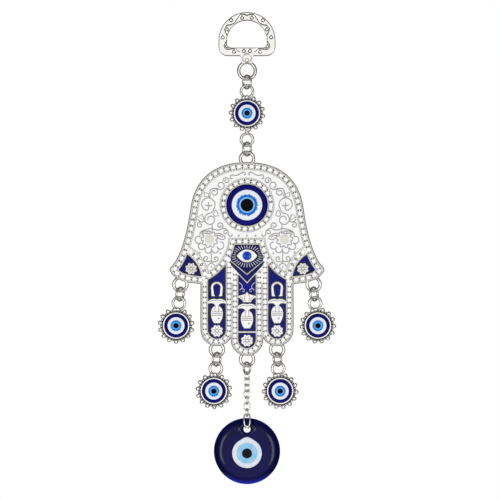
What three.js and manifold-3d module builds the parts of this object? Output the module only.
// Evil eye wall hanging: a silver hand with enamel fields, hung by rings from a cast hanger.
// Eye settings swing from the thumbs and fingers, and a glass eye hangs from a chain.
// Each piece is drawn face on, with x to the right, y up and z towards the viewer.

import * as THREE from "three";
import { mergeVertices } from "three/addons/utils/BufferGeometryUtils.js";
import Module from "manifold-3d";

const wasm = await Module();
wasm.setup();

// Driving dimensions in millimetres

// Clearances
const HANG_GAP = 0.35; // slack where one ring hangs in another
const CHAIN_GAP = 0.15; // slack between two links of the chain
const BAIL_GAP = 0.6; // slack of the folded bail in the last link
const FIT_GAP = 0.08; // all round a stone, cabochon or enamel fill in its seat

// Hanger, a flat cast letter D with a neck and a loop
const HANGER_OPENING_RADIUS = 10;
const HANGER_OPENING_HEIGHT = 13.5;
const HANGER_OPENING_CORNER = 2;
const HANGER_OUTER_CORNER = 4.6;
const HANGER_BAND = 4.2;
const HANGER_THICKNESS = 2.2;
const HANGER_BEVEL = 0.35;
const HANGER_NECK_WIDTH = 5.2;
const HANGER_NECK_FILLET = 1.3;
const HANGER_NECK_LENGTH = 3.2;
const HANGER_NECK_THICKNESS = 1.4;
const HANGER_LOOP_RADIUS = 4.15;
const HANGER_LOOP_WIRE = 1.75;

// Jump rings
const JUMP_RING_BORE = 5.45;
const JUMP_RING_WIRE = 1.2;
const CHAIN_RING_BORE = 4.75;

// Eye settings with their cabochons
const CABOCHON_RADIUS = 5.95;
const CABOCHON_HEIGHT = 3.1;
const CABOCHON_GIRDLE = 0.9;
const BEZEL_WALL = 0.65;
const BEZEL_HEIGHT = 1.2;
const SETTING_BASE = 0.9;
const SETTING_FLANGE = 1.4;
const BALL_COUNT = 14;
const BALL_RADIUS = 1.15;
const SETTING_LOOP_RADIUS = 3;
const SETTING_LOOP_WIRE = 1.35;
const TOP_LOOP_DISTANCE = 11;
const BOTTOM_LOOP_DISTANCE = 13.1;
const CHARM_LOOP_DISTANCE = 11.2;
const LOOP_NECK_WIDTH = 2.4;

// Hand casting, measured from the middle of the palm eye
const PLATE_THICKNESS = 1.9;
const PLATE_BACK = 1.1;
const RIM_WIDTH = 0.55;
const RIM_HEIGHT = 0.6;
const POOL_DEPTH = 0.5;
const ENAMEL_THICKNESS = 0.85;
const BORDER = 3.5;
const ARCH_TOP = 21.1;
const WAIST_HALF_WIDTH = 28;
const WAIST_DROP = 2.5;
const WAIST_LEAN = 1.8; // how the flank leaves the waist
const WAIST_PULL = 12;
const THUMB_SPAN = 37.2;
const THUMB_DROP = 30.6;
const THUMB_LEAN = 4.6; // how the flank runs into the tip of the thumb
const THUMB_PULL = 5.4;
const THUMB_TIP_RADIUS = 1.6;
const THUMB_TIP_INSET = 0.5;
const THUMB_TIP_DROP = 1.7;
const THUMB_HEEL_REACH = 0.8; // where the lower edge starts, past the tip
const THUMB_HEEL_DROP = 2.6;
const THUMB_HEEL_LEAN = 2.5; // how the lower edge leaves the tip
const THUMB_HEEL_PULL = 3.6;
const THUMB_EDGE_PULL = 6;
const FINGER_WIDTH = 15.6;
const FINGER_SPACING = 15.05;
const FINGER_ROOT = 28;
const SIDE_FINGER_LENGTH = 70.05;
const MIDDLE_FINGER_LENGTH = 74.9;
const PALM_BOTTOM = 39.3;
const HAND_LOOP_RADIUS = 3.3;
const HAND_LOOP_WIRE = 1.7;
const HAND_LOOP_OFFSET = 2.15;
const THUMB_LOOP_X = 33.3;
const THUMB_LOOP_DROP = 39.6;

// Bands of stones that part the palm from the crown and the thumbs
const CROWN_TOP = 16.45;
const CROWN_NECK = 8.9; // from the middle line to the nearest point of a sweep
const CROWN_SWEEP_DROP = 14.5;
const CROWN_SWEEP_RADIUS = 22.3;
const THUMB_SWEEP_X = 39.3;
const THUMB_SWEEP_DROP = 38.5;
const THUMB_SWEEP_RADIUS = 20.8;
const THUMB_BAND = 4;

// Palm eye
const PALM_EYE_RADIUS = 10.2;
const PALM_EYE_HEIGHT = 4.2;
const PALM_EYE_GIRDLE = 1.1;
const PALM_RING_RADIUS = 13.6;

// Crown, chevron and the small eye
const PENTAGON_TOP = 19.8;
const PENTAGON_TIP = 34.35;
const PENTAGON_SLOPE = 0.83;
const CHEVRON_TOP = 34.9;
const CHEVRON_TIP = 38.5;
const CHEVRON_SLOPE = 1.07;
const CHEVRON_LINE = 0.7;
const ALMOND_DROP = 25.35;
const ALMOND_LENGTH = 10.2;
const ALMOND_WIDTH = 6.3;
const STONE_RADIUS = 2.2;
const STONE_HEIGHT = 1.1;
const STONE_SEAT_DEPTH = 0.5;

// Raised figures in the enamel
const ROSETTE_RADIUS = 3;
const ROSETTE_PETALS = 8;
const THUMB_ROSETTE_X = 27.9;
const THUMB_ROSETTE_DROP = 31.75;
const HORSESHOE_DROP = 41.2;
const HORSESHOE_RADIUS = 2.42;
const HORSESHOE_BAND = 0.9;
const HORSESHOE_LEG = 4.25;
const HORSESHOE_MOUTH = 1.9;
const SIDE_TAIL_GAP = 1.3; // between a horseshoe and the fish under it
const SIDE_NOSE_GAP = 0.75; // between that fish and the rosette under it
const MIDDLE_TAIL_GAP = 0.7; // between the lotus and the fish under it
const MIDDLE_NOSE_GAP = 1.45; // between that fish and the divider
const FISH_GIRTH = 6.4;
const FISH_NECK = 2.3;
const FISH_TAIL_SHARE = 0.21; // of the length
const FISH_TAIL_DROOP = 0.52; // of the tail, at its tips
const LOTUS_GAP = 4.05; // between the chevron and the lotus
const LOTUS_HEIGHT = 5.3;
const DIVIDER_RISE = 11.5; // from the fingertip
const DIVIDER_WIDTH = 0.7;
const FINGERTIP_ROSETTE_RISE = 7.2;

// Chain and glass eye
const CHAIN_LINKS = 7;
const LINK_LENGTH = 4.7;
const LINK_WIDTH = 3.9;
const LINK_WIRE = 0.75;
const BAIL_WIRE = 0.8;
const BAIL_WIDTH = 3.7;
const BAIL_RISE = 2.1;
const BAIL_SEAT = 0.8;
const BAIL_CLEAR = 0.3; // between the wire and the faces of the glass
const GLASS_RADIUS = 16.65;
const GLASS_BACK = 2.4;
const GLASS_FRONT = 1.9;
const GLASS_ROLL = 0.85;
const GLASS_EYE_FLAT = 8.8;
const GLASS_HOLE_RISE = 11;
const GLASS_DIMPLE_RADIUS = 3.7;
const GLASS_DIMPLE_DEPTH = 1.5;
const DROP_LAYER = 0.5;
const WHITE_DROP_RADIUS = 7.4;
const WHITE_DROP_TIP = 7.2;
const EYE_DROP = 0.9;
const BLUE_DROP_RADIUS = 5.05;
const PUPIL_RADIUS = 2.45;

// How the loose pieces lie, in degrees
const UPPER_RING_TURN = -53;
const LOWER_RING_TURN = 53;
const LEFT_THUMB_RING_TURN = 58;
const RIGHT_THUMB_RING_TURN = 55;
const LEFT_FINGER_RING_TURN = 56;
const RIGHT_FINGER_RING_TURN = -57;
const CHAIN_RING_TURN = -57;
const CHAIN_TURN = 45;
const CHAIN_TWIST = 5;
const THUMB_CHARM_SLANT = 7;
const FINGER_CHARM_SLANT = 5;

// Facets
const ROUND = 20;
const PALM_EYE_ROUND = 28;
const GLASS_ROUND = 40;
const STONE_ROUND = 14;
const WIRE_SIDES = 6;
const RING_STEPS = 14;
const LINK_STEPS = 12;
const LINK_SIDES = 5;
const BAIL_STEPS = 44;
const SWEEP_STEPS = 36;

// Levels through the casting, from the plane that the loops hang in
const BACK = -PLATE_BACK;
const PLATE_FRONT = BACK + PLATE_THICKNESS;
const RIM_FRONT = PLATE_FRONT + RIM_HEIGHT;
const POOL_FLOOR = PLATE_FRONT - POOL_DEPTH;
const CUT_TOP = RIM_FRONT + PALM_EYE_HEIGHT; // over every piece of the casting

// Materials
function finish(color, roughness, metalness) {
  return new THREE.MeshStandardMaterial({ color, roughness, metalness });
}
const silver = finish(0xd2d0ca, 0.28, 0.95);
const enamel = finish(0x0b0b8c, 0.2, 0);
const resin = finish(0x101078, 0.12, 0);
const crystal = finish(0x1560e0, 0.08, 0);
const cobaltGlass = finish(0x14125a, 0.06, 0);
const whiteGlass = finish(0xe4e8f2, 0.1, 0);
const paleGlass = finish(0x9cd4f5, 0.1, 0);
const blackGlass = finish(0x050506, 0.1, 0);

// Solids

function solid(geometry) {
  const bare = new THREE.BufferGeometry();
  bare.setAttribute("position", geometry.getAttribute("position"));
  bare.setIndex(geometry.getIndex());
  const merged = mergeVertices(bare, 1e-4);
  const place = merged.getAttribute("position");
  const index = merged.getIndex().array;
  const corner = [new THREE.Vector3(), new THREE.Vector3(), new THREE.Vector3()];
  const triangles = [];
  let volume = 0;
  for (let i = 0; i < index.length; i += 3) {
    const [a, b, c] = [index[i], index[i + 1], index[i + 2]];
    if (a === b || b === c || a === c) continue;
    triangles.push(a, b, c);
    [a, b, c].forEach((vertex, k) => corner[k].fromBufferAttribute(place, vertex));
    volume += corner[0].dot(corner[1].cross(corner[2]));
  }
  if (volume < 0) triangles.reverse();
  const vertProperties = new Float32Array(place.array);
  const triVerts = new Uint32Array(triangles);
  return new wasm.Manifold(new wasm.Mesh({ numProp: 3, vertProperties, triVerts }));
}

function joined(solids) {
  return solids.reduce((whole, next) => whole.add(next));
}

function meshOf(name, body, material) {
  const result = body.getMesh();
  const geometry = new THREE.BufferGeometry();
  geometry.setAttribute("position", new THREE.BufferAttribute(result.vertProperties, 3));
  geometry.setIndex(new THREE.BufferAttribute(result.triVerts, 1));
  geometry.computeVertexNormals();
  const mesh = new THREE.Mesh(geometry, material.clone());
  mesh.name = name;
  return mesh;
}

// Flat outlines

function at(x, y) {
  return new THREE.Vector2(x, y);
}

function arc(x, y, radius, from, to, steps) {
  return Array.from({ length: steps + 1 }, (_, i) => {
    const angle = THREE.MathUtils.degToRad(from + ((to - from) * i) / steps);
    return at(x + radius * Math.cos(angle), y + radius * Math.sin(angle));
  });
}

function circle(x, y, radius, steps) {
  return arc(x, y, radius, 0, 360, steps);
}

function bezier(start, near, far, end, steps) {
  return new THREE.CubicBezierCurve(start, near, far, end).getPoints(steps);
}

function mirrored(points) {
  return points.map((point) => at(-point.x, point.y)).reverse();
}

// Drops repeated points and turns the outline counterclockwise
function outlined(points) {
  const kept = points.filter((point, i) => point.distanceTo(points.at(i - 1)) > 1e-3);
  return THREE.ShapeUtils.isClockWise(kept) ? kept.reverse() : kept;
}

// Moves a closed outline outwards, or inwards where the distance is negative
function grown(points, distance) {
  const ring = outlined(points);
  return ring.map((point, i) => {
    const before = point.clone().sub(ring.at(i - 1)).normalize();
    const after = ring[(i + 1) % ring.length].clone().sub(point).normalize();
    const normal = at(before.y + after.y, -before.x - after.x).normalize();
    const stretch = Math.max(0.5, normal.x * before.y - normal.y * before.x);
    return point.clone().addScaledVector(normal, distance / stretch);
  });
}

// Moves an open line to its right
function shifted(points, distance) {
  return points.map((point, i) => {
    const before = points[Math.max(0, i - 1)];
    const after = points[Math.min(points.length - 1, i + 1)];
    const along = after.clone().sub(before).normalize();
    return at(point.x + along.y * distance, point.y - along.x * distance);
  });
}

// Runs an open line on past its ends
function stretched(points, before, after) {
  const first = points[0].clone().sub(points[1]).normalize();
  const last = points.at(-1).clone().sub(points.at(-2)).normalize();
  const start = points[0].clone().addScaledVector(first, before);
  const end = points.at(-1).clone().addScaledVector(last, after);
  return [...(before > 0 ? [start] : []), ...points, ...(after > 0 ? [end] : [])];
}

function prism(points, bottom, top) {
  const shape = new THREE.Shape(outlined(points));
  const geometry = new THREE.ExtrudeGeometry(shape, { depth: top - bottom, bevelEnabled: false });
  geometry.translate(0, 0, bottom);
  return solid(geometry);
}

// Revolved solids

function revolved(profile, steps) {
  const geometry = new THREE.LatheGeometry(profile.map(([r, z]) => at(r, z)), steps);
  geometry.rotateX(Math.PI / 2);
  return solid(geometry);
}

function domeProfile(radius, bottom, girdle, height) {
  const shoulder = bottom + girdle;
  const rise = height - girdle;
  const crown = [0, 22, 44, 66].map((degrees) => {
    const angle = THREE.MathUtils.degToRad(degrees);
    return [radius * Math.cos(angle), shoulder + rise * Math.sin(angle)];
  });
  return [[0, bottom], [radius, bottom], ...crown, [0, bottom + height]];
}

function ring(radius, wire) {
  return solid(new THREE.TorusGeometry(radius, wire / 2, WIRE_SIDES, RING_STEPS));
}

function hangingPoint(parent, x, y) {
  const group = new THREE.Group();
  group.position.set(x, y, 0);
  parent.add(group);
  return group;
}

// A ring that hangs in the wire of a loop, and the point of its own lower wire
function hungRing(name, parent, seat, options) {
  const radius = (options.bore + JUMP_RING_WIRE) / 2;
  const group = hangingPoint(parent, seat.x, seat.y);
  group.name = name;
  group.rotation.z = THREE.MathUtils.degToRad(options.slant ?? 0);
  const top = (options.wire + JUMP_RING_WIRE) / 2 + HANG_GAP;
  const mesh = meshOf(name, ring(radius, JUMP_RING_WIRE), silver);
  mesh.position.y = top - radius;
  mesh.rotation.y = THREE.MathUtils.degToRad(options.turn);
  group.add(mesh);
  return { group, seat: at(0, top - 2 * radius) };
}

// Hanger

// The lower corners are as round as the straight side under the arch allows
function dOutline(halfWidth, bottom, corner) {
  const fillet = Math.min(corner, -HANGER_OPENING_RADIUS - bottom);
  const cornerX = halfWidth - fillet;
  return outlined([
    ...arc(0, -HANGER_OPENING_RADIUS, halfWidth, 0, 180, 18),
    ...arc(-cornerX, bottom + fillet, fillet, 180, 270, 4),
    ...arc(cornerX, bottom + fillet, fillet, 270, 360, 4),
  ]);
}

const hangerBottom = -HANGER_OPENING_HEIGHT - HANGER_BAND;
const hangerLoopY = hangerBottom - HANGER_NECK_LENGTH - HANGER_LOOP_RADIUS;

function hangerSolid() {
  const band = new THREE.Shape(
    dOutline(
      HANGER_OPENING_RADIUS + HANGER_BAND - HANGER_BEVEL,
      hangerBottom + HANGER_BEVEL,
      HANGER_OUTER_CORNER - HANGER_BEVEL,
    ),
  );
  const opening = dOutline(
    HANGER_OPENING_RADIUS + HANGER_BEVEL,
    -HANGER_OPENING_HEIGHT - HANGER_BEVEL,
    HANGER_OPENING_CORNER + HANGER_BEVEL,
  );
  band.holes.push(new THREE.Path(opening));
  const geometry = new THREE.ExtrudeGeometry(band, {
    depth: HANGER_THICKNESS - 2 * HANGER_BEVEL,
    bevelSize: HANGER_BEVEL,
    bevelThickness: HANGER_BEVEL,
    bevelSegments: 1,
  });
  geometry.translate(0, 0, HANGER_BEVEL - HANGER_THICKNESS / 2);
  const neckTop = hangerBottom + HANGER_BAND / 2;
  const neckEnd = hangerLoopY + HANGER_LOOP_RADIUS;
  const half = HANGER_NECK_WIDTH / 2;
  const shoulder = half + HANGER_NECK_FILLET;
  const side = [
    at(shoulder, neckTop),
    ...arc(shoulder, hangerBottom - HANGER_NECK_FILLET, HANGER_NECK_FILLET, 90, 180, 4),
    at(half, neckEnd),
  ];
  const neck = prism([...side, ...mirrored(side)], -HANGER_NECK_THICKNESS / 2, HANGER_NECK_THICKNESS / 2);
  const loop = ring(HANGER_LOOP_RADIUS, HANGER_LOOP_WIRE).translate([0, hangerLoopY, 0]);
  return joined([solid(geometry), neck, loop]);
}

// Eye settings

const bezelRadius = CABOCHON_RADIUS + FIT_GAP + BEZEL_WALL;
const flangeRadius = bezelRadius + SETTING_FLANGE;

function settingLoop(distance, up) {
  const neckStart = bezelRadius - BEZEL_WALL / 2;
  const neckEnd = distance - SETTING_LOOP_RADIUS;
  const neck = new THREE.BoxGeometry(LOOP_NECK_WIDTH, neckEnd - neckStart, SETTING_LOOP_WIRE * 0.7);
  neck.translate(0, (up * (neckStart + neckEnd)) / 2, 0);
  const loop = ring(SETTING_LOOP_RADIUS, SETTING_LOOP_WIRE).translate([0, up * distance, 0]);
  return [solid(neck), loop];
}

function settingSolid(loops) {
  const back = -SETTING_BASE;
  const cup = prism(circle(0, 0, bezelRadius, ROUND), back, BEZEL_HEIGHT);
  const seat = prism(circle(0, 0, CABOCHON_RADIUS + FIT_GAP, ROUND), 0, CUT_TOP);
  return joined([prism(beadedEdge(), back, back + BALL_RADIUS), cup, ...loops]).subtract(seat);
}

// A row of round beads, seen face on
function beadedEdge() {
  const pitch = 360 / BALL_COUNT;
  const beads = Array.from({ length: BALL_COUNT }, (_, i) => {
    const facing = (i + 0.5) * pitch + 90;
    const middle = arc(0, 0, flangeRadius, facing, facing, 1)[0];
    return arc(middle.x, middle.y, BALL_RADIUS, facing - 96, facing + 96, 3);
  });
  return beads.flat();
}

function cabochonMesh(name) {
  const dome = revolved(domeProfile(CABOCHON_RADIUS, FIT_GAP, CABOCHON_GIRDLE, CABOCHON_HEIGHT), ROUND);
  return meshOf(name, dome, resin);
}

// Outline of the hand

const sideFingerEnd = FINGER_WIDTH / 2 - SIDE_FINGER_LENGTH;
const middleFingerEnd = FINGER_WIDTH / 2 - MIDDLE_FINGER_LENGTH;

// The right edge from the top of the arch to the tip of the thumb
function flank() {
  const top = at(0, ARCH_TOP);
  const waist = at(WAIST_HALF_WIDTH, -WAIST_DROP);
  const tip = at(THUMB_SPAN, -THUMB_DROP);
  const shoulder = bezier(
    top,
    at(WAIST_HALF_WIDTH * 0.64, ARCH_TOP),
    at(WAIST_HALF_WIDTH * 0.94, ARCH_TOP * 0.545),
    waist,
    10,
  );
  const flare = bezier(
    waist,
    at(WAIST_HALF_WIDTH + WAIST_LEAN, -WAIST_DROP - WAIST_PULL),
    at(THUMB_SPAN - THUMB_LEAN, -THUMB_DROP + THUMB_PULL),
    tip,
    7,
  );
  return [...shoulder, ...flare.slice(1)];
}

// The lower edge of the right thumb, from its tip in to the finger
function thumbEdge() {
  const start = at(THUMB_SPAN + THUMB_HEEL_REACH, -THUMB_DROP - THUMB_HEEL_DROP);
  const end = at(FINGER_SPACING, -PALM_BOTTOM);
  return bezier(
    start,
    at(start.x - THUMB_HEEL_LEAN, start.y - THUMB_HEEL_PULL),
    at(start.x - THUMB_EDGE_PULL, end.y),
    end,
    5,
  );
}

function palmOutline() {
  const tipX = THUMB_SPAN - THUMB_TIP_INSET;
  const tip = arc(tipX, -THUMB_DROP - THUMB_TIP_DROP, THUMB_TIP_RADIUS, 40, -30, 3);
  const right = [...flank(), ...tip, ...thumbEdge()];
  return outlined([...right, ...mirrored(right)]);
}

// A finger from its root to its round end, drawn in by an inset
function fingerOutline(x, end, halfWidth) {
  const roundEnd = arc(x, end, halfWidth, 180, 360, 8);
  return outlined([...roundEnd, at(x + halfWidth, -FINGER_ROOT), at(x - halfWidth, -FINGER_ROOT)]);
}

function handPrism(inset, bottom, top) {
  const half = FINGER_WIDTH / 2 - inset;
  return joined([
    prism(grown(palmOutline(), -inset), bottom, top),
    prism(fingerOutline(-FINGER_SPACING, sideFingerEnd, half), bottom, top),
    prism(fingerOutline(FINGER_SPACING, sideFingerEnd, half), bottom, top),
    prism(fingerOutline(0, middleFingerEnd, half), bottom, top),
  ]);
}

// Fields of the hand, each drawn in by an inset

const WIDE = ARCH_TOP + MIDDLE_FINGER_LENGTH; // past every edge of the hand

function disc(x, y, radius, bottom, top) {
  return prism(circle(x, y, radius, SWEEP_STEPS), bottom, top);
}

function slab(left, right, low, high, bottom, top) {
  return prism([at(left, low), at(right, low), at(right, high), at(left, high)], bottom, top);
}

// All that lies above a letter V
function aboveV(tip, slope, bottom, top) {
  const high = tip + WIDE * slope;
  return prism([at(0, tip), at(WIDE, high), at(WIDE, WIDE), at(-WIDE, WIDE), at(-WIDE, high)], bottom, top);
}

// How far a letter V moves up or down when its sides move by one
function mitre(slope) {
  return Math.hypot(1, slope);
}

const crownSweepX = CROWN_NECK + CROWN_SWEEP_RADIUS;

function crownDisc(side, radius, bottom, top) {
  return disc(side * crownSweepX, -CROWN_SWEEP_DROP, radius, bottom, top);
}

function crownDiscs(radius, bottom, top) {
  return crownDisc(1, radius, bottom, top).add(crownDisc(-1, radius, bottom, top));
}

function thumbDisc(side, radius, bottom, top) {
  return disc(side * THUMB_SWEEP_X, -THUMB_SWEEP_DROP, radius, bottom, top);
}

// The right half of the hand inside its flank, and all that lies above the edge of its thumb
function insideFlank(inset) {
  const edge = shifted(stretched(flank(), 0, BORDER * 2), inset);
  return [at(0, ARCH_TOP - inset), ...edge.slice(1), at(0, -WIDE)];
}

function aboveThumbEdge(inset) {
  const edge = shifted(stretched(thumbEdge(), BORDER * 2, FINGER_SPACING), inset);
  return [...edge, at(0, WIDE), at(WIDE, WIDE)];
}

function palmField(inset, bottom, top) {
  const right = insideFlank(BORDER + inset);
  const arch = prism([...right, ...mirrored(right)], bottom, top);
  const sweep = CROWN_SWEEP_RADIUS - inset;
  const crown = slab(-WIDE, WIDE, -WIDE * 2, -CROWN_TOP + inset, bottom, top);
  return arch
    .subtract(crown.subtract(crownDiscs(sweep, bottom, top)))
    .subtract(thumbDisc(1, THUMB_SWEEP_RADIUS + inset, bottom, top))
    .subtract(thumbDisc(-1, THUMB_SWEEP_RADIUS + inset, bottom, top))
    .subtract(disc(0, 0, PALM_RING_RADIUS + inset, bottom, top));
}

function thumbPool(side, inset, bottom, top) {
  const facing = (outline) => (side > 0 ? outline : mirrored(outline));
  const reach = THUMB_SWEEP_RADIUS - THUMB_BAND - inset;
  return prism(facing(insideFlank(BORDER + inset)), bottom, top)
    .intersect(prism(facing(aboveThumbEdge(BORDER + inset)), bottom, top))
    .intersect(thumbDisc(side, reach, bottom, top));
}

function pentagonPool(inset, bottom, top) {
  const sweep = CROWN_SWEEP_RADIUS + BORDER + inset;
  return slab(-WIDE, WIDE, -WIDE, -PENTAGON_TOP - inset, bottom, top)
    .intersect(aboveV(-PENTAGON_TIP + inset * mitre(PENTAGON_SLOPE), PENTAGON_SLOPE, bottom, top))
    .subtract(crownDiscs(sweep, bottom, top));
}

function chevronPool(inset, bottom, top) {
  const sweep = CROWN_SWEEP_RADIUS + BORDER + inset;
  return slab(-WIDE, WIDE, -WIDE, -PENTAGON_TOP, bottom, top)
    .intersect(aboveV(-CHEVRON_TIP + inset * mitre(CHEVRON_SLOPE), CHEVRON_SLOPE, bottom, top))
    .subtract(aboveV(-CHEVRON_TOP - inset * mitre(PENTAGON_SLOPE), PENTAGON_SLOPE, bottom, top))
    .subtract(crownDiscs(sweep, bottom, top));
}

function middlePanel(inset, bottom, top) {
  const half = FINGER_WIDTH / 2 - BORDER - inset;
  const tip = -CHEVRON_TIP - CHEVRON_LINE - inset * mitre(CHEVRON_SLOPE);
  return prism(fingerOutline(0, middleFingerEnd, half), bottom, top).subtract(
    aboveV(tip, CHEVRON_SLOPE, bottom, top),
  );
}

function sidePanel(side, inset, bottom, top) {
  const half = FINGER_WIDTH / 2 - BORDER - inset;
  const sweep = CROWN_SWEEP_RADIUS + BORDER + inset;
  return prism(fingerOutline(side * FINGER_SPACING, sideFingerEnd, half), bottom, top).subtract(
    crownDisc(side, sweep, bottom, top),
  );
}

// Raised figures, each an outline

function rosette(x, y) {
  const points = Array.from({ length: ROSETTE_PETALS * 3 }, (_, i) => {
    const angle = (i * 2 * Math.PI) / (ROSETTE_PETALS * 3);
    const reach = ROSETTE_RADIUS * (i % 3 === 0 ? 0.8 : 1);
    return at(x + reach * Math.sin(angle), y + reach * Math.cos(angle));
  });
  return outlined(points);
}

// The feet turn in towards each other
function horseshoe(x, y) {
  const outer = HORSESHOE_RADIUS + HORSESHOE_BAND / 2;
  const inner = HORSESHOE_RADIUS - HORSESHOE_BAND / 2;
  const mouth = HORSESHOE_MOUTH / 2;
  const heel = y - HORSESHOE_LEG;
  const left = [
    at(-outer * 0.9, heel),
    at(-mouth, heel),
    at(-(mouth + inner) / 2, heel + HORSESHOE_BAND),
  ];
  const outside = arc(0, y, outer, 0, 180, 10);
  const inside = arc(0, y, inner, 205, -25, 8);
  const shoe = outlined([...outside, ...left, ...inside, ...mirrored(left)]);
  return shoe.map((point) => at(x + point.x, point.y));
}

// A fish that hangs head down between two heights, with a tail as wide as its panel
function fish(x, top, end) {
  const length = top - end;
  const down = (share) => top - share * length;
  const tail = FINGER_WIDTH / 2 - BORDER + RIM_WIDTH / 2;
  const belly = FISH_GIRTH * 0.575;
  const neck = FISH_NECK / 2;
  const nose = FISH_GIRTH * 0.23;
  const fork = FISH_TAIL_SHARE;
  const fin = bezier(
    at(0, down(0.016)),
    at(tail * 0.35, down(-0.03)),
    at(tail * 0.75, top),
    at(tail, down(fork * FISH_TAIL_DROOP)),
    4,
  );
  const root = bezier(
    at(tail, down(fork)),
    at(tail * 0.7, down(fork - 0.03)),
    at(neck, down(fork - 0.03)),
    at(neck, down(fork + 0.049)),
    3,
  );
  const flankLine = bezier(
    at(neck, down(fork + 0.073)),
    at(belly, down(fork + 0.178)),
    at(belly, down(0.757)),
    at(nose, end),
    5,
  );
  const side = [...fin, ...root, ...flankLine];
  return outlined([...side, ...mirrored(side)]).map((point) => at(x + point.x, point.y));
}

function lotus(x, top) {
  const reach = FINGER_WIDTH / 2 - BORDER + RIM_WIDTH / 2;
  const foot = reach * 0.42;
  const down = (share) => top - share * LOTUS_HEIGHT;
  const upper = bezier(
    at(0, top),
    at(reach * 0.11, down(0.26)),
    at(reach * 0.6, down(0.29)),
    at(reach, down(0.4)),
    4,
  );
  const lower = bezier(
    at(reach, down(0.52)),
    at(reach * 0.8, down(0.61)),
    at(foot * 1.15, down(0.76)),
    at(foot, down(1)),
    3,
  );
  const side = [...upper, ...lower];
  return outlined([...side, ...mirrored(side)]).map((point) => at(x + point.x, point.y));
}

function almond() {
  const half = ALMOND_LENGTH / 2;
  const lid = ALMOND_WIDTH * 0.66;
  const upper = bezier(at(half, 0), at(half * 0.45, lid), at(-half * 0.45, lid), at(-half, 0), 7);
  return outlined([...upper, ...upper.map((point) => at(-point.x, -point.y))]).map((point) =>
    at(point.x, point.y - ALMOND_DROP),
  );
}

// Heights of the figures that stand one above another on the fingers
const horseshoeY = -HORSESHOE_DROP;
const sideRosetteY = FINGERTIP_ROSETTE_RISE - SIDE_FINGER_LENGTH;
const sideFishTop = horseshoeY - HORSESHOE_LEG - SIDE_TAIL_GAP;
const sideFishEnd = sideRosetteY + ROSETTE_RADIUS + SIDE_NOSE_GAP;
const lotusTop = -CHEVRON_TIP - CHEVRON_LINE - LOTUS_GAP;
const lotusWaist = lotusTop - LOTUS_HEIGHT * 0.46;
const dividerY = DIVIDER_RISE - MIDDLE_FINGER_LENGTH;
const middleFishTop = lotusTop - LOTUS_HEIGHT - MIDDLE_TAIL_GAP;
const middleFishEnd = dividerY + DIVIDER_WIDTH / 2 + MIDDLE_NOSE_GAP;
const middleRosetteY = FINGERTIP_ROSETTE_RISE - MIDDLE_FINGER_LENGTH;

const figures = {
  leftThumbRosette: rosette(-THUMB_ROSETTE_X, -THUMB_ROSETTE_DROP),
  rightThumbRosette: rosette(THUMB_ROSETTE_X, -THUMB_ROSETTE_DROP),
  leftHorseshoe: horseshoe(-FINGER_SPACING, horseshoeY),
  rightHorseshoe: horseshoe(FINGER_SPACING, horseshoeY),
  leftFish: fish(-FINGER_SPACING, sideFishTop, sideFishEnd),
  rightFish: fish(FINGER_SPACING, sideFishTop, sideFishEnd),
  middleFish: fish(0, middleFishTop, middleFishEnd),
  leftFingerRosette: rosette(-FINGER_SPACING, sideRosetteY),
  rightFingerRosette: rosette(FINGER_SPACING, sideRosetteY),
  middleRosette: rosette(0, middleRosetteY),
  lotus: lotus(0, lotusTop),
  almond: almond(),
};

function divider(bottom, top) {
  const half = FINGER_WIDTH / 2 - BORDER + RIM_WIDTH / 2;
  return slab(-half, half, dividerY - DIVIDER_WIDTH / 2, dividerY + DIVIDER_WIDTH / 2, bottom, top);
}

// Hand casting

function handSolid() {
  const blank = handPrism(0, BACK, RIM_FRONT);
  const channel = handPrism(RIM_WIDTH, PLATE_FRONT, CUT_TOP);
  const fields = [
    (inset, bottom, top) => palmField(inset, bottom, top),
    (inset, bottom, top) => thumbPool(-1, inset, bottom, top),
    (inset, bottom, top) => thumbPool(1, inset, bottom, top),
    (inset, bottom, top) => pentagonPool(inset, bottom, top),
    (inset, bottom, top) => chevronPool(inset, bottom, top),
    (inset, bottom, top) => middlePanel(inset, bottom, top),
    (inset, bottom, top) => sidePanel(-1, inset, bottom, top),
    (inset, bottom, top) => sidePanel(1, inset, bottom, top),
  ];
  const sunk = PLATE_FRONT - POOL_DEPTH / 2;
  const rims = fields.map((field) => field(-RIM_WIDTH, sunk, RIM_FRONT));
  const palmRing = disc(0, 0, PALM_RING_RADIUS, sunk, RIM_FRONT);
  const palmChannel = disc(0, 0, PALM_RING_RADIUS - RIM_WIDTH, PLATE_FRONT, CUT_TOP);
  const seatRadius = PALM_EYE_RADIUS + FIT_GAP;
  const palmBezel = prism(circle(0, 0, seatRadius + RIM_WIDTH, PALM_EYE_ROUND), sunk, RIM_FRONT);
  const palmSeat = prism(circle(0, 0, seatRadius, PALM_EYE_ROUND), POOL_FLOOR, CUT_TOP);
  const floors = fields.map((field, i) => field(0, i === 0 ? PLATE_FRONT : POOL_FLOOR, CUT_TOP));
  const islands = Object.values(figures).map((figure) => prism(figure, sunk - POOL_DEPTH, RIM_FRONT));
  const stoneSeat = prism(
    circle(0, -ALMOND_DROP, STONE_RADIUS + FIT_GAP, STONE_ROUND),
    RIM_FRONT - STONE_SEAT_DEPTH,
    CUT_TOP,
  );
  const casting = blank
    .subtract(channel)
    .add(joined(rims).intersect(blank))
    .subtract(joined(floors))
    .add(palmRing)
    .subtract(palmChannel)
    .add(palmBezel)
    .subtract(palmSeat)
    .add(joined(islands))
    .add(divider(sunk - POOL_DEPTH, RIM_FRONT))
    .subtract(stoneSeat);
  const loops = handLoops().map((place) =>
    ring(HAND_LOOP_RADIUS, HAND_LOOP_WIRE).translate([place.x, place.y, 0]),
  );
  return joined([casting, ...loops]);
}

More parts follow.
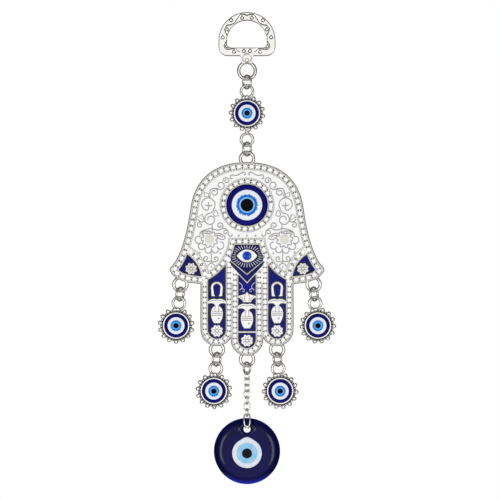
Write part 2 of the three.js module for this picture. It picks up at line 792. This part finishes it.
function handLoops() {
  return [
    at(0, ARCH_TOP + HAND_LOOP_OFFSET),
    at(-THUMB_LOOP_X, -THUMB_LOOP_DROP),
    at(THUMB_LOOP_X, -THUMB_LOOP_DROP),
    at(-FINGER_SPACING, -SIDE_FINGER_LENGTH - HAND_LOOP_OFFSET),
    at(FINGER_SPACING, -SIDE_FINGER_LENGTH - HAND_LOOP_OFFSET),
    at(0, -MIDDLE_FINGER_LENGTH - HAND_LOOP_OFFSET),
  ];
}

// Enamel fills, each poured round the figures that stand in its pool

function poured(pool, low, high, inPool) {
  const bottom = POOL_FLOOR + FIT_GAP;
  const top = bottom + ENAMEL_THICKNESS;
  const fill = pool(FIT_GAP, bottom, top).intersect(slab(-WIDE, WIDE, low, high, BACK, CUT_TOP));
  const standing = inPool.map((figure) => prism(grown(figure, FIT_GAP), BACK, CUT_TOP));
  return standing.reduce((left, figure) => left.subtract(figure), fill);
}

function enamelMeshes() {
  const cut = (FISH_TAIL_SHARE * (1 + FISH_TAIL_DROOP)) / 2;
  const sideTail = sideFishTop - (sideFishTop - sideFishEnd) * cut;
  const middleTail = middleFishTop - (middleFishTop - middleFishEnd) * cut;
  const left = (inset, bottom, top) => sidePanel(-1, inset, bottom, top);
  const right = (inset, bottom, top) => sidePanel(1, inset, bottom, top);
  const leftThumb = (inset, bottom, top) => thumbPool(-1, inset, bottom, top);
  const rightThumb = (inset, bottom, top) => thumbPool(1, inset, bottom, top);
  const { leftFish, rightFish, middleFish } = figures;
  const barHalf = DIVIDER_WIDTH / 2 + FIT_GAP;
  const low = -WIDE * 2;
  const fills = [
    ["left_thumb_enamel", poured(leftThumb, low, 0, [figures.leftThumbRosette])],
    ["right_thumb_enamel", poured(rightThumb, low, 0, [figures.rightThumbRosette])],
    ["crown_enamel", poured(pentagonPool, low, 0, [figures.almond])],
    ["chevron_enamel", poured(chevronPool, low, 0, [])],
    ["left_finger_upper_enamel", poured(left, sideTail, 0, [leftFish, figures.leftHorseshoe])],
    ["left_finger_lower_enamel", poured(left, low, sideTail, [leftFish, figures.leftFingerRosette])],
    ["right_finger_upper_enamel", poured(right, sideTail, 0, [rightFish, figures.rightHorseshoe])],
    ["right_finger_lower_enamel", poured(right, low, sideTail, [rightFish, figures.rightFingerRosette])],
    ["middle_finger_upper_enamel", poured(middlePanel, lotusWaist, 0, [figures.lotus])],
    ["middle_finger_waist_enamel", poured(middlePanel, middleTail, lotusWaist, [figures.lotus, middleFish])],
    ["middle_finger_fish_enamel", poured(middlePanel, dividerY + barHalf, middleTail, [middleFish])],
    ["middle_fingertip_enamel", poured(middlePanel, low, dividerY - barHalf, [figures.middleRosette])],
  ];
  return fills.map(([name, fill]) => meshOf(name, fill, enamel));
}

// Chain links, the folded bail and the glass eye

class LinkPath extends THREE.Curve {
  constructor(length, width) {
    super();
    this.straight = (length - width) / 2;
    this.radius = width / 2;
  }

  getPoint(t, target = new THREE.Vector3()) {
    const angle = t * 2 * Math.PI;
    const lift = Math.sin(angle) >= 0 ? this.straight : -this.straight;
    return target.set(this.radius * Math.cos(angle), lift + this.radius * Math.sin(angle), 0);
  }
}

function closedTube(path, steps, wire) {
  return solid(new THREE.TubeGeometry(path, steps, wire / 2, LINK_SIDES, true));
}

function linkSolid() {
  return closedTube(new LinkPath(LINK_LENGTH - LINK_WIRE, LINK_WIDTH - LINK_WIRE), LINK_STEPS, LINK_WIRE);
}

// A long link folded double through the hole of the glass, with both ends on the chain.
// Its points are measured from the middle of the hole.
const bailApex = GLASS_RADIUS - GLASS_HOLE_RISE + BAIL_RISE;
const bailNear = BAIL_WIRE * 0.78;
const bailStrand = (BAIL_WIRE + CHAIN_GAP) / 2;
const glassHoleRadius = Math.hypot(bailNear, BAIL_SEAT) + BAIL_WIRE / 2 + HANG_GAP;

function bailSolid() {
  const half = (BAIL_WIDTH - BAIL_WIRE) / 2;
  const near = bailNear;
  const clear = BAIL_WIRE / 2 + BAIL_CLEAR;
  const face = GLASS_FRONT + GLASS_ROLL + clear;
  const rear = GLASS_BACK + clear;
  const rim = GLASS_RADIUS - GLASS_HOLE_RISE;
  const leg = (depth) => [
    [near, BAIL_SEAT, 0.82 * depth],
    [near * 1.25, BAIL_SEAT + BAIL_WIRE * 0.8, depth * 1.01],
    [half * 0.92, BAIL_SEAT + BAIL_WIRE * 2.5, depth * 1.03],
    [half, rim - BAIL_WIRE, depth * 0.94],
    [half, rim + BAIL_WIRE * 0.4, depth * 0.68],
    [half * 0.92, bailApex - BAIL_WIRE * 1.2, depth * 0.34],
    [half * 0.5, bailApex - BAIL_WIRE / 4, bailStrand * 1.07],
  ];
  const place = ([x, y, z]) => new THREE.Vector3(x, y, z);
  const flip = ([x, y, z]) => [-x, y, z];
  const turned = ([x, y, z]) => [x, y, -z];
  const front = leg(face);
  const back = leg(rear).map(turned);
  const points = [
    [near, BAIL_SEAT, 0],
    ...front,
    [0, bailApex, bailStrand],
    ...front.map(flip).reverse(),
    [-near, BAIL_SEAT, 0],
    ...back.map(flip),
    [0, bailApex, -bailStrand],
    ...back.reverse(),
  ];
  return closedTube(new THREE.CatmullRomCurve3(points.map(place), true), BAIL_STEPS, BAIL_WIRE);
}

function glassSolid() {
  const flat = GLASS_EYE_FLAT;
  const rolled = (share) => flat + (GLASS_RADIUS - flat) * share;
  const crest = GLASS_FRONT + GLASS_ROLL;
  const body = revolved(
    [
      [0, -GLASS_BACK],
      [rolled(0.76), -GLASS_BACK],
      [rolled(0.92), -GLASS_BACK * 0.72],
      [GLASS_RADIUS, -GLASS_BACK * 0.1],
      [rolled(0.92), GLASS_FRONT * 0.68],
      [rolled(0.74), crest - GLASS_ROLL * 0.35],
      [rolled(0.5), crest],
      [rolled(0.22), GLASS_FRONT + GLASS_ROLL * 0.5],
      [flat, GLASS_FRONT],
      [0, GLASS_FRONT],
    ],
    GLASS_ROUND,
  );
  const hole = new THREE.CylinderGeometry(glassHoleRadius, glassHoleRadius, 4 * crest, ROUND);
  const dimple = new THREE.CylinderGeometry(
    GLASS_DIMPLE_RADIUS,
    glassHoleRadius,
    GLASS_DIMPLE_DEPTH,
    ROUND,
  );
  const cuts = [
    [hole, 0],
    [dimple, crest - GLASS_DIMPLE_DEPTH / 2],
  ].map(([geometry, z]) => {
    geometry.rotateX(Math.PI / 2);
    geometry.translate(0, GLASS_HOLE_RISE, z);
    return solid(geometry);
  });
  return cuts.reduce((left, cut) => left.subtract(cut), body);
}

function whiteDropOutline() {
  const round = arc(0, -EYE_DROP, WHITE_DROP_RADIUS, 132, 408, 20);
  const shoulder = round[0];
  const tip = at(0, WHITE_DROP_TIP);
  const side = bezier(
    tip,
    at(-WHITE_DROP_RADIUS * 0.15, WHITE_DROP_TIP),
    at(shoulder.x + WHITE_DROP_RADIUS * 0.26, shoulder.y + WHITE_DROP_RADIUS * 0.19),
    shoulder,
    5,
  );
  return outlined([...side, ...round, ...mirrored(side)]);
}

function glassEyeMeshes() {
  const layers = [
    ["glass_white_drop", whiteDropOutline(), whiteGlass],
    ["glass_blue_drop", circle(0, -EYE_DROP, BLUE_DROP_RADIUS, ROUND), paleGlass],
    ["glass_pupil", circle(0, -EYE_DROP, PUPIL_RADIUS, ROUND), blackGlass],
  ];
  return layers.map(([name, outline, material], i) => {
    const bottom = GLASS_FRONT + FIT_GAP + i * (DROP_LAYER + FIT_GAP);
    return meshOf(name, prism(outline, bottom, bottom + DROP_LAYER), material);
  });
}

// Assembly, each loose piece in a group whose origin is the wire that it hangs on

const hanging = new THREE.Group();
hanging.rotation.x = Math.PI / 2;
hanging.add(meshOf("hanger", hangerSolid(), silver));

const upper = hungRing("upper_jump_ring", hanging, at(0, hangerLoopY - HANGER_LOOP_RADIUS), {
  bore: JUMP_RING_BORE,
  wire: HANGER_LOOP_WIRE,
  turn: UPPER_RING_TURN,
});

// The height of a loop's middle below the ring that it hangs in
function loopDrop(radius, wire) {
  return (wire + JUMP_RING_WIRE) / 2 + HANG_GAP - radius;
}

const topEye = hangingPoint(upper.group, upper.seat.x, upper.seat.y);
topEye.name = "top_eye";
const topEyePlace = new THREE.Group();
topEyePlace.position.y = loopDrop(SETTING_LOOP_RADIUS, SETTING_LOOP_WIRE) - TOP_LOOP_DISTANCE;
const topLoops = [...settingLoop(TOP_LOOP_DISTANCE, 1), ...settingLoop(BOTTOM_LOOP_DISTANCE, -1)];
topEyePlace.add(meshOf("top_eye_setting", settingSolid(topLoops), silver));
topEyePlace.add(cabochonMesh("top_eye_cabochon"));
topEye.add(topEyePlace);

const topEyeSeat = at(0, topEyePlace.position.y - BOTTOM_LOOP_DISTANCE - SETTING_LOOP_RADIUS);
const lower = hungRing("lower_jump_ring", topEye, topEyeSeat, {
  bore: JUMP_RING_BORE,
  wire: SETTING_LOOP_WIRE,
  turn: LOWER_RING_TURN,
});

const hand = hangingPoint(lower.group, lower.seat.x, lower.seat.y);
hand.name = "hand";
const handPlace = new THREE.Group();
const topLoopY = ARCH_TOP + HAND_LOOP_OFFSET;
handPlace.position.y = loopDrop(HAND_LOOP_RADIUS, HAND_LOOP_WIRE) - topLoopY;
handPlace.add(meshOf("hand_casting", handSolid(), silver));
const palmDome = domeProfile(PALM_EYE_RADIUS, POOL_FLOOR + FIT_GAP, PALM_EYE_GIRDLE, PALM_EYE_HEIGHT);
handPlace.add(meshOf("palm_eye_cabochon", revolved(palmDome, PALM_EYE_ROUND), resin));
const stoneProfile = domeProfile(STONE_RADIUS, 0, STONE_SEAT_DEPTH, STONE_HEIGHT);
const stone = meshOf("crown_eye_stone", revolved(stoneProfile, STONE_ROUND), crystal);
stone.position.set(0, -ALMOND_DROP, RIM_FRONT - STONE_SEAT_DEPTH + FIT_GAP);
handPlace.add(stone, ...enamelMeshes());
hand.add(handPlace);

const [, leftThumbLoop, rightThumbLoop, leftFingerLoop, rightFingerLoop, middleLoop] = handLoops();
const charms = [
  ["left_thumb", leftThumbLoop, LEFT_THUMB_RING_TURN, -THUMB_CHARM_SLANT],
  ["right_thumb", rightThumbLoop, RIGHT_THUMB_RING_TURN, THUMB_CHARM_SLANT],
  ["left_finger", leftFingerLoop, LEFT_FINGER_RING_TURN, -FINGER_CHARM_SLANT],
  ["right_finger", rightFingerLoop, RIGHT_FINGER_RING_TURN, FINGER_CHARM_SLANT],
];
for (const [place, loop, turn, slant] of charms) {
  const ringSeat = at(loop.x, loop.y - HAND_LOOP_RADIUS);
  const jump = hungRing(`${place}_jump_ring`, handPlace, ringSeat, {
    bore: JUMP_RING_BORE,
    wire: HAND_LOOP_WIRE,
    turn,
    slant,
  });
  const charm = hangingPoint(jump.group, jump.seat.x, jump.seat.y);
  charm.name = `${place}_charm`;
  const charmPlace = new THREE.Group();
  charmPlace.position.y = loopDrop(SETTING_LOOP_RADIUS, SETTING_LOOP_WIRE) - CHARM_LOOP_DISTANCE;
  const charmSolid = settingSolid(settingLoop(CHARM_LOOP_DISTANCE, 1));
  charmPlace.add(meshOf(`${place}_eye_setting`, charmSolid, silver));
  charmPlace.add(cabochonMesh(`${place}_eye_cabochon`));
  charm.add(charmPlace);
}

const chainSeat = at(middleLoop.x, middleLoop.y - HAND_LOOP_RADIUS);
const chainRing = hungRing("chain_jump_ring", handPlace, chainSeat, {
  bore: CHAIN_RING_BORE,
  wire: HAND_LOOP_WIRE,
  turn: CHAIN_RING_TURN,
});

let linkParent = chainRing.group;
let linkSeat = chainRing.seat.y;
let linkWire = JUMP_RING_WIRE;
for (let i = 0; i < CHAIN_LINKS; i += 1) {
  const name = `chain_link_${i + 1}`;
  const group = hangingPoint(linkParent, 0, linkSeat);
  group.name = name;
  const top = (linkWire + LINK_WIRE) / 2 + CHAIN_GAP;
  const reach = (LINK_LENGTH - LINK_WIRE) / 2;
  const link = meshOf(name, linkSolid(), silver);
  const turn = (i % 2 === 0 ? CHAIN_TURN : -CHAIN_TURN) + i * CHAIN_TWIST;
  link.rotation.y = THREE.MathUtils.degToRad(turn);
  link.position.y = top - reach;
  group.add(link);
  linkParent = group;
  linkSeat = top - 2 * reach;
  linkWire = LINK_WIRE;
}

const bail = hangingPoint(linkParent, 0, linkSeat);
bail.name = "glass_bail";
const bailPlace = new THREE.Group();
bailPlace.position.y = (LINK_WIRE + BAIL_WIRE) / 2 + BAIL_GAP - bailApex;
bailPlace.add(meshOf("glass_bail", bailSolid(), silver));
bail.add(bailPlace);

const glass = hangingPoint(bailPlace, 0, BAIL_SEAT);
glass.name = "glass_eye";
const glassPlace = new THREE.Group();
glassPlace.position.y = -BAIL_SEAT - GLASS_HOLE_RISE;
glassPlace.add(meshOf("glass_disc", glassSolid(), cobaltGlass), ...glassEyeMeshes());
glass.add(glassPlace);

const object = new THREE.Group();
object.add(hanging);

export default object;
